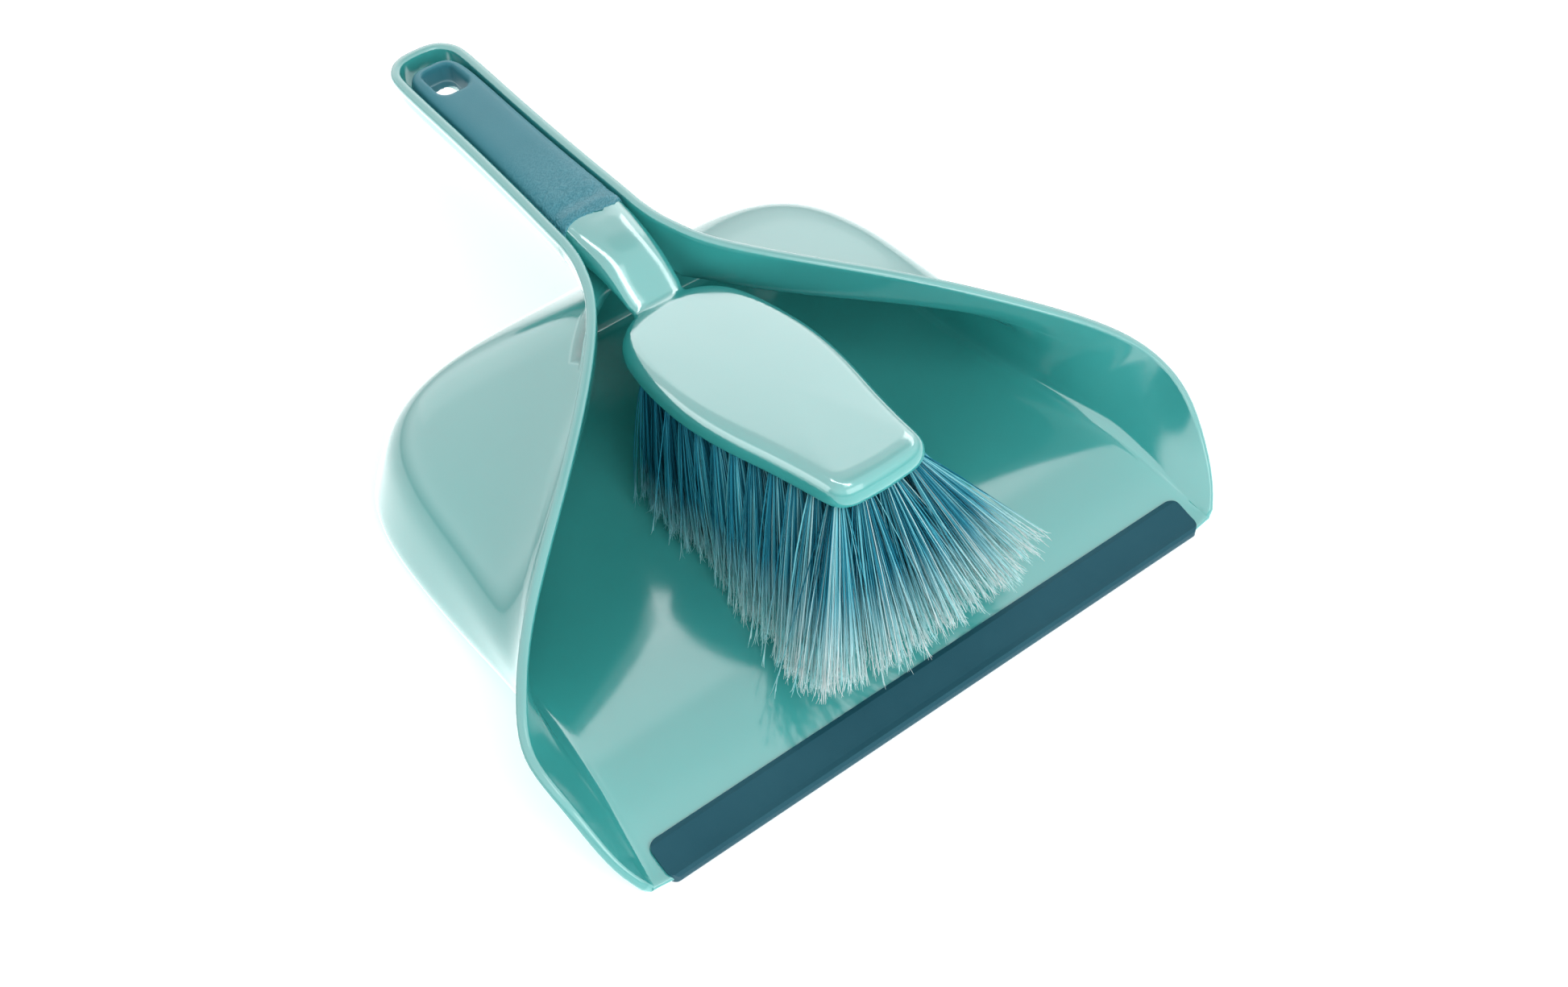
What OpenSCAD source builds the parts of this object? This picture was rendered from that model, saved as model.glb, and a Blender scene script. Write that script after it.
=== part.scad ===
// Dust pan and hand brush set. Millimetres. +X to the right, +Y from the lip towards the handle end, +Z up.
// The pan rests on the plane z = 0; the brush lies in the open trough of the pan handle.

/* [Overall] */
// overall length, lip edge to handle end
pan_len = 318; // [280:1:360]
// wall thickness of the moulded pan
wall = 2.2; // [1.6:0.1:3]

/* [Pan floor] */
// half width of the pan at the front corners
front_half = 125; // [110:1:140]
// height of the floor hump behind the lip ramp
hump_z = 13; // [6:0.5:18]
// distance from the lip edge to the floor hump
hump_y = 50; // [35:1:70]
// how far the back wall stands from the lip edge
back_y = 219; // [190:1:240]

/* [Hood] */
// height of the hood shoulder before rounding
shoulder_z = 39.5; // [30:0.5:50]
// height of the hood nose under the brush neck
nose_z = 57; // [50:0.5:62]
// distance from the lip edge to the hood nose
nose_y = 186; // [178:1:192]
// rim height at the handle
rim_z = 77.5; // [70:0.5:85]
// fillet length at the base edge
base_r = 6.5; // [4:0.5:14]
// fillet length at the hood shoulder
shoulder_r = 15; // [6:0.5:20]

/* [Pan handle trough] */
// half width of the trough outside, at its middle
trough_half = 16.4; // [14:0.2:20]
// height of the trough underside
trough_z = 59.4; // [56:0.1:64]

/* [Lip strip] */
// half length of the soft lip strip
lip_half = 118; // [100:1:122]
// width of the strip along the ramp
lip_w = 15; // [10:0.5:20]
// thickness of the strip over the ramp
lip_t = 1.5; // [1:0.1:3]

/* [Brush block] */
// length of the bristle block
block_len = 127.5; // [100:0.5:140]
// thickness of the bristle block
block_t = 11.5; // [9:0.5:20]
// nose-up pitch of the block
block_pitch = 9; // [5:0.5:20]
// distance of the block front from the lip edge
block_y = 39; // [30:0.5:60]
// height of the block top at its front edge
block_z = 86.5; // [75:0.5:95]
// top edge rounding of the block
block_r = 6; // [2:0.5:7]

/* [Brush handle] */
// half width of the grip at its neck end
grip_half = 13.4; // [12:0.1:16]
// height of the grip top
grip_top = 79.8; // [72:0.5:84]
// height of the grip underside
grip_low = 62.6; // [60:0.1:68]
// where the soft grip starts
grip_y0 = 200; // [190:1:215]
// where the soft grip ends
grip_y1 = 310; // [300:1:312]
// thickness of the soft grip over the core
grip_t = 2.2; // [1:0.2:4]
// hang hole width
hole_w = 12.5; // [8:0.5:16]
// hang hole length
hole_l = 16.5; // [10:0.5:22]
// distance of the hang hole centre from the lip edge
hole_y = 297; // [285:1:303]

/* [Tufts] */
// number of tuft rows
rows = 12; // [8:1:14]
// pitch of the rows
row_pitch = 8.6; // [8:0.1:11]
// first row from the block front
row_s0 = 8.5; // [6:0.5:12]
// tuft hole radius
tuft_r = 2.3; // [1.5:0.1:3]
// tuft radius at the tips
tip_r = 4.9; // [3:0.1:7]
// depth of the tuft holes
tuft_deep = 8; // [6:0.5:10]
// sideways fan of the outer tufts
fan_side = 25; // [0:1:35]
// free length of the front tufts
tuft_long = 59; // [40:1:70]
// free length of the back tufts
tuft_short = 50; // [30:0.5:60]
// forward fan of the first row
fan_front = 20; // [0:1:30]

/* [Hidden] */
mint = [0.56, 0.78, 0.75];
petrol = [0.20, 0.34, 0.40];
grip_blue = [0.31, 0.50, 0.56];
hair = [0.25, 0.49, 0.58];
steel = [0.72, 0.73, 0.75];
eps = 0.01;
core_cut = grip_y1 - hole_y + hole_l / 2 + 3;

// ---------- small maths ----------
function mix(a, b, t) = a + (b - a) * t;
function unit(v) = v / max(norm(v), 1e-9);
// Catmull-Rom through the rows of p at real index t
function cr(p, t) =
    let (n = len(p), i = min(max(floor(t), 0), n - 2), f = t - i,
         a = p[max(i - 1, 0)], b = p[i], c = p[i + 1], d = p[min(i + 2, n - 1)])
    0.5 * (2 * b + (c - a) * f + (2 * a - 5 * b + 4 * c - d) * f * f + (3 * b - a - 3 * c + d) * f * f * f);
// quadratic curve a-b-c
function bez(a, b, c, t) = mix(mix(a, b, t), mix(b, c, t), t);
// underside height of the pan floor along y
function floor_low(y) =
    y < hump_y ? mix(0.3, hump_z - wall, pow(sin(90 * max(y - 2, 0) / (hump_y - 2)), 1.4))
    : (hump_z - wall) * (0.5 + 0.5 * cos(180 * min((y - hump_y) / 95, 1)));

// ---------- pan: stations round the right half, front corner to back centre ----------
// base corner, hood shoulder corner, flange foot, rim
base_st = [[front_half, 3.5], [123.6, 14], [121.6, 30], [120.2, 48], [119.2, 64], [118.8, 82], [118.4, 100],
    [118, 124], [117.2, 150], [115.8, 172], [111.2, 192], [99, back_y - 8.8], [76, back_y - 2.2],
    [42, back_y - 0.3], [0, back_y]];
shoulder_st = [[front_half + 0.4, 3.6, 1.2], [125.7, 13.9, 6.4], [126.4, 30, 14.5], [127, 47.5, 20],
    [125.5, 64, 25], [121.8, 83, 32], [117.4, 102, 37.5], [112, 127, 39.3], [108, 151, shoulder_z],
    [105, 170, shoulder_z - 0.3], [100, 189, shoulder_z - 0.8], [87, back_y - 14.5, shoulder_z - 1],
    [63, back_y - 9, shoulder_z - 0.5], [34, back_y - 8.3, shoulder_z], [0, back_y - 8, shoulder_z + 0.3]];
foot_st = [[front_half + 0.9, 3.7, 2.4], [129.2, 13.6, 9.8], [133, 29.8, 22], [134.5, 47, 29.5],
    [130, 62.5, 36.5], [117.5, 81.5, 41.5], [98, 99.5, 46], [76, 119, 50.5], [51, 144.5, 53.5],
    [31, 168, 55], [19, 178.5, 56], [12.5, nose_y - 3, 56.5], [8, nose_y - 1.2, nose_z - 0.3],
    [4, nose_y - 0.3, nose_z - 0.1], [0, nose_y, nose_z]];
rim_st = [[front_half + 1.8, 4, 3.4], [133, 13.2, 14], [137.6, 29.7, 29.9], [138.3, 46.8, 37.6],
    [130.6, 61.7, 45], [115, 79.9, 52], [93.6, 98.5, 60.8], [72, 116.8, 68.2], [46.9, 141.1, 73.3],
    [28, 164, 75.6], [20.8, 178, 76.6], [18.2, 186, 77], [17.2, 191, 77.2], [16.7, 195, 77.3],
    [trough_half, 199, 77.4]];
// trough of the handle: bottom line and rim, nose to handle end
low_st = [[0, nose_y, nose_z], [0, nose_y + 4.5, trough_z - 0.7], [0, nose_y + 12, trough_z], [0, 214, trough_z],
    [0, 235, trough_z], [0, 260, trough_z], [0, 282, trough_z], [0, pan_len - 18, trough_z],
    [0, pan_len - 9, trough_z + 0.2], [0, pan_len - 5.5, trough_z + 1.2], [0, pan_len - 3.5, trough_z + 3]];
top_st = [[trough_half, 199, 77.4], [16.2, 206, rim_z], [15.9, 214, rim_z], [15.4, 228, rim_z], [14.9, 247, rim_z],
    [14.6, 267, rim_z], [14.6, 287, rim_z], [14.4, pan_len - 13, rim_z], [12.7, pan_len - 5.6, rim_z],
    [8, pan_len - 1.2, rim_z], [0, pan_len, rim_z]];
st_n = len(base_st) - 1;
fine = 2;
function base_at(t) = let (p = cr(base_st, t)) [p[0], p[1], floor_low(p[1])];
function inboard(t, d) =
    let (p = base_at(t), q = cr(base_st, max(t - 0.1, 0)), r = cr(base_st, min(t + 0.1, st_n)),
         u = unit(r - q), x = t >= st_n - eps ? 0 : p[0] - u[1] * d, y = t >= st_n - eps ? p[1] - d : p[1] + u[0] * d)
    [x, y, floor_low(y)];
// one profile, from the floor out, up the wall, over the hood and up the flange
function sx(w, e) = pow(sin(90 * w), e);
function sz(w, e) = 1 - pow(cos(90 * w), e);
function flange(f, r, e, up) = [for (i = [0:5]) let (w = i / 5, s = mix(sx(w, e), w, up), z = mix(sz(w, e), w, up))
    [mix(f[0], r[0], s), mix(f[1], r[1], s), mix(f[2], r[2], z)]];
function profile(t) =
    let (a = inboard(t, 13), b = base_at(t), c = cr(shoulder_st, t), f = cr(foot_st, t), r = cr(rim_st, t),
         kb = min(base_r, norm(c - b) * 0.45), kc = min(shoulder_r, norm(c - b) * 0.5, norm(f - c) * 0.45),
         b0 = b + unit(a - b) * kb, b1 = b + unit(c - b) * kb,
         c0 = c + unit(b - c) * kc, c1 = c + unit(f - c) * kc)
    concat([a], [for (i = [0:3]) bez(b0, b, b1, i / 3)], [for (i = [1:2]) mix(b1, c0, i / 3)],
        [for (i = [0:4]) bez(c0, c, c1, i / 4)], [for (i = [1:3]) mix(c1, f, i / 4)],
        flange(f, r, min(max(0.62 + (t - 10) * 0.02, 0.62), 0.68), min(max((6.5 - t) / 3, 0), 1)));
function mirrored(p) = [for (q = p) [-q[0], q[1], q[2]]];
foot_col = 15;
hood_n = st_n * fine;
trough_n = (len(low_st) - 1) * fine;
// rows 0 to hood_n run round the hood, the later ones along the trough and hold the flange columns only
grid = concat([for (i = [0:hood_n]) profile(i / fine)],
    [for (k = [1:trough_n]) concat([for (j = [0:foot_col - 1]) [0, 0, 0]],
        flange(cr(low_st, k / fine), cr(top_st, k / fine), 0.68, 0))]);
mirror_row = mirrored(grid[hood_n - 1]);
function next_row(i, j) = i == hood_n && j < foot_col ? mirror_row[j]
    : i == hood_n + trough_n ? mirrored(grid[i - 1])[j] : grid[i + 1][j];
function prev_row(i, j) = i == 0 ? grid[0][j] : grid[i - 1][j];
function flat_x(v, x) = abs(x) < 1e-6 ? [0, v[1], v[2]] : v;
// outward normal at a grid point; the nose, where the sheet folds, points back
function skin_normal(i, j) =
    i == hood_n && j == foot_col ? [0, 1, 0]
    : let (g = grid[i], m = len(g) - 1, u = next_row(i, j) - prev_row(i, j),
           v = j == foot_col && i > hood_n ? g[j + 1] - mirrored(g)[j + 1] : g[min(j + 1, m)] - g[max(j - 1, 0)])
      unit(flat_x(cross(u, v), g[j][0]));
// closed sheet of the given thickness over grid rows r0 to r1 and columns c0 to the rim
module skin(r0, r1, c0) {
    m = len(grid[0]) - c0;
    n = r1 - r0 + 1;
    pts = concat([for (i = [r0:r1]) for (j = [c0:c0 + m - 1]) grid[i][j]],
        [for (i = [r0:r1]) for (j = [c0:c0 + m - 1]) grid[i][j] - skin_normal(i, j) * wall]);
    o = n * m;
    outer = [for (i = [0:n - 2]) for (j = [0:m - 2])
        each [[i * m + j, i * m + j + 1, (i + 1) * m + j + 1], [i * m + j, (i + 1) * m + j + 1, (i + 1) * m + j]]];
    inner = [for (f = outer) [o + f[0], o + f[2], o + f[1]]];
    e1 = [for (i = [0:n - 2]) each [[i * m, (i + 1) * m, o + (i + 1) * m], [i * m, o + (i + 1) * m, o + i * m]]];
    e2 = [for (i = [0:n - 2]) let (q = m - 1)
        each [[i * m + q, o + (i + 1) * m + q, (i + 1) * m + q], [i * m + q, o + i * m + q, o + (i + 1) * m + q]]];
    e3 = [for (j = [0:m - 2]) each [[j, o + j + 1, j + 1], [j, o + j, o + j + 1]]];
    e4 = [for (j = [0:m - 2]) let (q = (n - 1) * m)
        each [[q + j, q + j + 1, o + q + j + 1], [q + j, o + q + j + 1, o + q + j]]];
    polyhedron(points = pts, faces = concat(outer, inner, e1, e2, e3, e4), convexity = 8);
}

// ---------- plate stacked from inset copies of one outline ----------
function side_normal(o, i) = let (n = len(o), d = unit(o[(i + 1) % n] - o[(i + n - 1) % n])) [-d[1], d[0]];
// layers are [z, inset]; the outline runs anticlockwise seen from above
module stacked(o, layers) {
    n = len(o);
    k = len(layers);
    pts = [for (l = layers) for (i = [0:n - 1])
        let (q = o[i] + side_normal(o, i) * l[1]) [q[0], q[1], l[0]]];
    side = [for (a = [0:k - 2]) for (i = [0:n - 1]) let (j = (i + 1) % n)
        each [[a * n + i, (a + 1) * n + j, a * n + j], [a * n + i, (a + 1) * n + i, (a + 1) * n + j]]];
    polyhedron(points = pts, convexity = 6,
        faces = concat([[for (i = [0:n - 1]) i]], side, [[for (i = [n - 1:-1:0]) (k - 1) * n + i]]));
}
function round_layers(z0, z1, r0, r1, ins, n) = concat(
    [for (i = [0:n]) [z0 + r0 * (1 - cos(90 * i / n)), ins + r0 * (1 - sin(90 * i / n))]],
    [for (i = [0:n]) [z1 - r1 * (1 - sin(90 * i / n)), ins + r1 * (1 - cos(90 * i / n))]]);
function both_sides(p) = concat(p, [for (i = [len(p) - 2:-1:1]) [-p[i][0], p[i][1]]]);

module rrect(w, l, r) {
    square([w - 2 * r, l], center = true);
    square([w, l - 2 * r], center = true);
    for (x = [-1, 1])
        for (y = [-1, 1])
            translate([x * (w / 2 - r), y * (l / 2 - r)])
                circle(r = r, $fn = 32);
}

// ---------- floor and lip ----------
module floor_slab(inset) {
    ys = concat([1.2, 4], [for (i = [1:9]) mix(4, hump_y + 10, i / 9)], [for (i = [1:8]) mix(hump_y + 10, back_y, i / 8)]);
    low = [for (y = ys) [y, floor_low(y) + inset]];
    top = [for (i = [len(ys) - 1:-1:0]) [ys[i], floor_low(ys[i]) + wall - inset]];
    translate([-160, 0, 0])
        rotate([90, 0, 90])
            linear_extrude(height = 320)
                polygon(concat(low, top));
}
module lip_profile() {
    ys = [for (i = [0:7]) mix(1.2, lip_w, i / 7)];
    top = [for (y = ys) [y, floor_low(y) + wall + lip_t * min(1, 0.55 + (lip_w - y) / 4)]];
    low = [for (i = [7:-1:0]) [ys[i], floor_low(ys[i]) + wall]];
    polygon(concat([[0.5, 0], [0.1, 0.5], [0, 1.4], [0.3, 2.8]], top, low,
        [[2.2, floor_low(2.2) + wall], [2.2, floor_low(2.2)], [6, floor_low(6)], [6, 0.02], [5.4, 0]]));
}

// ---------- brush ----------
block_st = [[0, -1], [9, -0.6], [15, 0.6], [18.8, 3.6], [20.6, 9], [22.2, 20], [25, 36], [28, 51], [30, 66],
    [30.4, 80], [29.2, 95], [26.8, 108], [22.6, 117.5], [15.4, 124], [7.5, 126.8], [0, block_len]];
function block_half(s) = lookup(s, [for (p = block_st) [p[1], p[0]]]);
module block_frame() {
    translate([0, block_y, block_z])
        rotate([-block_pitch, 0, 0])
            children();
}
module block_solid() {
    o = both_sides([for (i = [0:30]) cr(block_st, i * (len(block_st) - 1) / 30)]);
    lay = concat(round_layers(-block_t, -0.7, 1.5, block_r, 0, 5), [[-0.35, block_r + 3.5], [-0.1, block_r + 8]]);
    block_frame()
        stacked(o, lay);
}
// rounded section at a station: centre y, centre z, tilt, half width, height above and below the centre
function ring(y, z, tilt, a, up, dn, square = top_square) = [for (i = [0:27]) let (q = i * 360 / 28, ex = sin(q) > 0 ? square : 0.95,
        u = sign(cos(q)) * pow(abs(cos(q)), ex) * a, v = sign(sin(q)) * pow(abs(sin(q)), ex) * (sin(q) > 0 ? up : dn))
    [u, y - v * sin(tilt), z + v * cos(tilt)]];
// how square the top corners are: lower is squarer. The neck rounds off towards the block
top_square = 0.46;
neck_square = 0.85;
module loft(rings) {
    n = len(rings);
    m = len(rings[0]);
    pts = [for (r = rings) each r];
    side = [for (a = [0:n - 2]) for (i = [0:m - 1]) let (j = (i + 1) % m)
        each [[a * m + i, (a + 1) * m + j, (a + 1) * m + i], [a * m + i, a * m + j, (a + 1) * m + j]]];
    polyhedron(points = pts, convexity = 6,
        faces = concat([[for (i = [m - 1:-1:0]) i]], side, [[for (i = [0:m - 1]) (n - 1) * m + i]]));
}
mid_z = 71.5;
mid_up = grip_top - mid_z;
mid_dn = mid_z - grip_low;
// y, z, tilt, half width, height above and below
neck_st = [[147, 56.5, -34, 10.2, 5, 4], [153.5, 58.6, -36, 10.7, 6.4, 5], [160.5, 62, -36, 11.1, 7.4, 6],
    [168.5, 66.6, -32, 11.7, 7.6, 6.6], [177, 69.8, -18, 12.4, 7.6, 7], [187, 71.2, -5, 13, 7.9, 7.6],
    [grip_y0, mid_z, 0, grip_half, mid_up, mid_dn]];
module neck_loft() {
    loft([for (i = [0:24]) let (s = cr(neck_st, i / 4)) ring(s[0], s[1], s[2], s[3], s[4], s[5], mix(neck_square, top_square, i / 24))]);
}
// y, half width, how much lower the section gets, used from the neck to the end of the grip
handle_st = [[grip_y0, grip_half, 0], [215, grip_half - 0.4, 0], [235, grip_half - 1.1, 0],
    [260, grip_half - 1.6, 0.1], [284, grip_half - 1.7, 0.2], [297, grip_half - 2, 0.4],
    [304.5, 10.3, 1.1], [308.4, 7.5, 2.5], [grip_y1, 3.8, 4.2]];
module handle_loft(ins, y0, cut) {
    loft([for (i = [0:16]) let (s = cr(handle_st, i / 2), y = mix(y0, grip_y1 - cut, (s[0] - grip_y0) / (grip_y1 - grip_y0)))
        ring(y, mid_z, 0, max(s[1] - ins, 1), max(mid_up - s[2] - ins, 0.8), max(mid_dn - s[2] - ins, 0.8))]);
}
module hang_hole(grow, z0, z1, back = 0) {
    translate([0, hole_y + back, z0])
        linear_extrude(height = z1 - z0)
            rrect(hole_w + 2 * grow, hole_l + 2 * grow, 3.2 + grow);
}

// ---------- tufts ----------
function row_s(i) = row_s0 + i * row_pitch;
function row_count(i) = i % 2 == 0 ? 4 : 5;
function row_spread(i) = block_half(row_s(i)) - 5.2;
function tuft_x(i, j) = let (n = row_count(i)) -row_spread(i) + 2 * row_spread(i) * j / (n - 1);
function tuft_side(i, j) = mix(fan_side, 2, min(i / 7, 1)) * tuft_x(i, j) / max(row_spread(i), 1);
function tuft_fore(i) = mix(fan_front, -2, i / (rows - 1));
function tuft_len(i) = mix(tuft_long, tuft_short, i / (rows - 1));
module at_tuft(i, j) {
    block_frame()
        translate([tuft_x(i, j), row_s(i), -block_t])
            rotate([180 - tuft_fore(i), -tuft_side(i, j), 0])
                children();
}
module anchor(i, j) {
    block_frame()
        translate([tuft_x(i, j), row_s(i), -block_t + tuft_deep - 0.9])
            cube([4, 0.5, 1.6], center = true);
}
module tuft(i, j) {
    difference() {
        union() {
            block_frame()
                translate([tuft_x(i, j), row_s(i), -block_t])
                    cylinder(r = tuft_r - 0.12, h = tuft_deep - 0.2, $fn = 16);
            at_tuft(i, j) {
                sphere(r = tuft_r - 0.03, $fn = 16);
                cylinder(r1 = tuft_r - 0.2, r2 = tip_r, h = tuft_len(i), $fn = 16);
            }
        }
        anchor(i, j);
    }
}
module tuft_row(i) {
    color(hair)
        for (j = [0:row_count(i) - 1])
            tuft(i, j);
}

// ---------- the pieces ----------
module pan_shell() {
    color(mint)
        resize([0, 0, 0])
        difference() {
            union() {
                for (k = [0:1])
                    mirror([k, 0, 0]) {
                        skin(0, hood_n, 0);
                        skin(hood_n, hood_n + trough_n, foot_col);
                    }
                intersection() {
                    floor_slab(0.2);
                    translate([0, 0, -5])
                        linear_extrude(height = 40)
                            polygon(concat([for (i = [0:st_n]) let (p = inboard(i, 9)) [p[0], i == 0 ? 1.2 : p[1]]],
                                [for (i = [st_n - 1:-1:0]) let (p = inboard(i, 9)) [-p[0], i == 0 ? 1.2 : p[1]]]));
                }
            }
            hang_hole(3.2, trough_z - 2, trough_z + 8, 5);
            translate([-lip_half, -5, -5])
                cube([2 * lip_half, 7.2, 20]);
        }
}

module lip_strip() {
    color(petrol)
        intersection() {
            translate([-lip_half, 0, 0])
                rotate([90, 0, 90])
                    linear_extrude(height = 2 * lip_half)
                        lip_profile();
            translate([0, lip_w / 2, -1])
                linear_extrude(height = 20)
                    rrect(2 * lip_half, lip_w, 4);
        }
}

module brush_body() {
    color(mint)
        difference() {
            resize([0, 0, 0])
                union() {
                    block_solid();
                    neck_loft();
                    handle_loft(grip_t, grip_y0 - 6, core_cut);
                }
            for (i = [0:rows - 1])
                for (j = [0:row_count(i) - 1])
                    block_frame()
                        translate([tuft_x(i, j), row_s(i), -block_t - 1])
                            cylinder(r = tuft_r, h = tuft_deep + 1, $fn = 16);
        }
}

module brush_grip() {
    color(grip_blue)
        difference() {
            handle_loft(0, grip_y0, 0);
            handle_loft(grip_t, grip_y0 - 8, core_cut);
            hang_hole(0, 50, 90);
            hang_hole(1.6, 50, 69.5);
        }
}

module tuft_anchors() {
    color(steel)
        for (i = [0:rows - 1])
            for (j = [0:row_count(i) - 1])
                anchor(i, j);
}

module tuft_row_01() { tuft_row(0); }
module tuft_row_02() { tuft_row(1); }
module tuft_row_03() { tuft_row(2); }
module tuft_row_04() { tuft_row(3); }
module tuft_row_05() { tuft_row(4); }
module tuft_row_06() { tuft_row(5); }
module tuft_row_07() { tuft_row(6); }
module tuft_row_08() { tuft_row(7); }
module tuft_row_09() { tuft_row(8); }
module tuft_row_10() { tuft_row(9); }
module tuft_row_11() { tuft_row(10); }
module tuft_row_12() { tuft_row(11); }

module placed() {
    translate([0, -pan_len / 2, 0])
        children();
}

placed() pan_shell();
placed() lip_strip();
placed() brush_body();
placed() brush_grip();
placed() tuft_anchors();
placed() tuft_row_01();
placed() tuft_row_02();
placed() tuft_row_03();
placed() tuft_row_04();
placed() tuft_row_05();
placed() tuft_row_06();
placed() tuft_row_07();
placed() tuft_row_08();
placed() tuft_row_09();
placed() tuft_row_10();
placed() tuft_row_11();
placed() tuft_row_12();
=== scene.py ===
import math

import bmesh
import bpy
import numpy as np
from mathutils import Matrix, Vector
from mathutils.bvhtree import BVHTree


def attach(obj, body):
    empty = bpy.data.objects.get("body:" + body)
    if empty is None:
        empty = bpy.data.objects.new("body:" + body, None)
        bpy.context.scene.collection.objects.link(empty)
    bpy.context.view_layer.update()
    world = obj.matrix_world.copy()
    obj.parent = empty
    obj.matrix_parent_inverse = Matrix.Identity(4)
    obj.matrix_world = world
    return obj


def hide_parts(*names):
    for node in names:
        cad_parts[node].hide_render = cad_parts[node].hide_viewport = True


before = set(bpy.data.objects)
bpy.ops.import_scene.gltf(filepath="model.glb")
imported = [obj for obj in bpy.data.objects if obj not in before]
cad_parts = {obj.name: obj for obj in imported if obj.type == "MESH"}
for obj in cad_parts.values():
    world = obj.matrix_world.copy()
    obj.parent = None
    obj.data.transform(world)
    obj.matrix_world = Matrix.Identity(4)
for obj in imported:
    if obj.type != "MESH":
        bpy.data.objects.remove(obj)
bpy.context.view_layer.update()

# -------------------- dimensions, millimetres, as in the CAD source
MM = 0.001
PAN_LEN, WALL = 318.0, 2.2
# half width of the mouth, crest of the raised floor, where the hood's back meets the floor
FRONT, HUMP_Z, HUMP_Y, BACK = 125.0, 13.0, 50.0, 219.0
# height of the shoulders, where the hood runs into the trough, height of the trough's rim
SZ, NZ, NY, RIM = 39.5, 57.0, 186.0, 77.5
# rounding of the base and of the shoulder, half width and bottom of the trough
BASE_R, SHOULDER_R, TR_HALF, TR_Z = 6.5, 15.0, 16.4, 59.4
# the brush block: length, thickness, pitch in degrees, place of its front top edge, top rounding
BLOCK_L, BLOCK_T, PITCH, BLOCK_Y, BLOCK_Z, BLOCK_R = 127.5, 11.5, 9.0, 39.0, 86.5, 6.0
# the grip: half width, top and underside, both ends, wall
GRIP_HALF, GRIP_TOP, GRIP_LOW, GRIP_Y0, GRIP_Y1, GRIP_T = 13.4, 79.8, 62.6, 200.0, 310.0, 2.2
MID_Z = 71.5                # height of the handle's widest line
# hang hole in the grip: width, length, place, corner radius
HOLE_W, HOLE_L, HOLE_Y, HOLE_R = 12.5, 16.5, 297.0, 3.6
ROWS, ROW_PITCH, ROW_S0 = 12, 8.6, 8.5      # rows of tufts, counted from the front
# radius of a tuft at the block and at its tips, and across the tips of the front row
TUFT_R, TIP_R, TIP_WIDE = 2.3, 4.9, 12.0
# length of the front and the back tufts, and how far they lean out, in degrees
TUFT_LONG, TUFT_SHORT, FAN_SIDE, FAN_FRONT = 59.0, 50.0, 25.0, 20.0
# thicker edge of the pan's rim, and how far in it reaches
RIM_BEAD, BEAD_REACH = 1.5, 3.4


def put(points):
    """Design millimetres to metres, with the middle of the pan's length at y = 0."""
    p = np.array(points, float).reshape(-1, 3)
    p[:, 1] -= PAN_LEN / 2
    return p * MM


def mix(a, b, t):
    return a + (b - a) * t


def unit(v):
    return v / np.maximum(np.linalg.norm(v, axis=-1, keepdims=True), 1e-9)


def spline(stations, t):
    """Natural cubic spline through the rows of stations, at real indices t."""
    p = np.array(stations, float)
    n = len(p)
    a, r = np.eye(n), np.zeros_like(p)
    for i in range(1, n - 1):
        a[i, i - 1:i + 2] = (1, 4, 1)
        r[i] = 6 * (p[i - 1] - 2 * p[i] + p[i + 1])
    m = np.linalg.solve(a, r)
    t = np.clip(np.atleast_1d(np.array(t, float)), 0, n - 1)
    i = np.minimum(t.astype(int), n - 2)
    f = (t - i)[:, None]
    bent = (m[i] * (1 - f) ** 3 + m[i + 1] * f ** 3) / 6
    return bent + (p[i] - m[i] / 6) * (1 - f) + (p[i + 1] - m[i + 1] / 6) * f


def mirrored(stations):
    """Stations of the right half, then of the left half, which keeps the spline even at the middle."""
    p = np.array(stations, float)
    return np.vstack([p, p[-2::-1] * np.array([-1] + [1] * (p.shape[1] - 1))])


def floor_low(y):
    """Height of the floor's underside: up behind the lip to the hump, then down again."""
    y = np.asarray(y, float)
    crest_highlight, lip_y, fall_len = HUMP_Z - WALL, 2, 95
    climb = np.clip(y - lip_y, 0, HUMP_Y - lip_y) / (HUMP_Y - lip_y)
    ramp = mix(0.3, crest_highlight, np.sin(np.radians(90 * climb)) ** 1.4)
    fall = crest_highlight * (0.5 + 0.5 * np.cos(np.pi * np.clip((y - HUMP_Y) / fall_len, 0, 1)))
    return np.where(y < HUMP_Y, ramp, fall)


# -------------------- mesh helpers
def new_object(name, verts, faces):
    me = bpy.data.meshes.new(name)
    me.from_pydata([tuple(v) for v in verts], [], [tuple(int(i) for i in f) for f in faces])
    me.validate()
    me.shade_smooth()
    ob = bpy.data.objects.new(name, me)
    bpy.context.scene.collection.objects.link(ob)
    return ob


def apply_modifiers(ob):
    dg = bpy.context.evaluated_depsgraph_get()
    dg.update()
    me = bpy.data.meshes.new_from_object(ob.evaluated_get(dg), depsgraph=dg)
    ob.modifiers.clear()
    old, ob.data = ob.data, me
    bpy.data.meshes.remove(old)


def discard(ob):
    me = ob.data
    bpy.data.objects.remove(ob)
    bpy.data.meshes.remove(me)


def boolean(ob, cutter, operation):
    m = ob.modifiers.new("bool", "BOOLEAN")
    m.operation, m.solver, m.object = operation, "EXACT", cutter
    apply_modifiers(ob)
    discard(cutter)


def lofted(name, rings):
    """A closed solid through equal rings of points, ends capped."""
    rings = np.array(rings, float)
    n, m = rings.shape[:2]
    faces = []
    for a in range(n - 1):
        for i in range(m):
            j = (i + 1) % m
            faces.append((a * m + i, a * m + j, (a + 1) * m + j, (a + 1) * m + i))
    faces.append(tuple(range(m - 1, -1, -1)))
    faces.append(tuple(range((n - 1) * m, n * m)))
    ob = new_object(name, put(rings.reshape(-1, 3)), faces)
    tidy_normals(ob)
    return ob


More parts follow.
